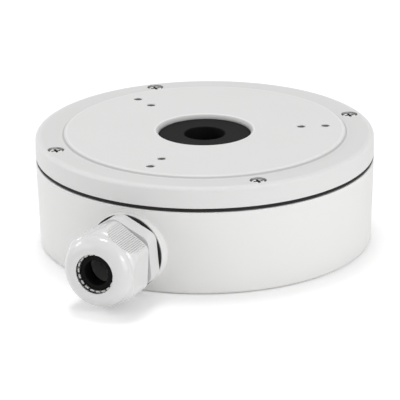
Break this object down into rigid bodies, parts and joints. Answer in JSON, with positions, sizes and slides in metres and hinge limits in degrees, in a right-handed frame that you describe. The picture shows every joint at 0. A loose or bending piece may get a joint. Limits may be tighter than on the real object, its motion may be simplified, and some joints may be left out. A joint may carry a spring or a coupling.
{
  "type": "camera junction box",
  "caption": "Round cast junction box with a side cable gland and a screwed cover that carries a security camera.",
  "frame": {"origin": "on the box's axis at the flat back face that meets the wall", "axes": "+Z out of the wall along the box's axis, towards the camera seat; the cable gland points along -Y"},
  "size_m": [0.157, 0.1915, 0.052],
  "materials": {
    "white_paint": "satin powder coat",
    "white_nylon": "glossy moulded nylon",
    "black_rubber": "matte",
    "screw_steel": "bright"
  },
  "bodies": {
    "base": {"base_housing": "white_paint", "cover_gasket": "black_rubber", "rear_plug": "black_rubber", "earth_screw": "screw_steel", "earth_washer": "screw_steel", "gland_body": "white_nylon", "gland_washer": "black_rubber"},
    "cover": {"cover_plate": "white_paint", "cable_grommet": "black_rubber", "cover_screw_1": "screw_steel", "cover_screw_2": "screw_steel", "cover_screw_3": "screw_steel", "cover_screw_4": "screw_steel", "screw_retainer_1": "black_rubber", "screw_retainer_2": "black_rubber", "screw_retainer_3": "black_rubber", "screw_retainer_4": "black_rubber"},
    "gland_clamp": {"gland_claw": "white_nylon", "gland_seal": "black_rubber"},
    "gland_nut": {"gland_nut": "white_nylon"}
  },
  "joints": [
    {"name": "cover_lift", "type": "slide", "parent": "base", "child": "cover", "axis": [0, 0, 1], "range_m": [0, 0.06]},
    {"name": "gland_clamp_slide", "type": "slide", "parent": "base", "child": "gland_clamp", "axis": [0, -1, 0], "range_m": [0, 0.00905]},
    {"name": "gland_nut_turn", "type": "hinge", "parent": "gland_clamp", "child": "gland_nut", "pos_m": [0, -0.1, 0.0194], "axis": [0, -1, 0], "range_deg": [0, 2160]}
  ],
  "couplings": [
    {"joint": "gland_clamp_slide", "follows": "gland_nut_turn", "m_per_rad": 0.00023873}
  ]
}
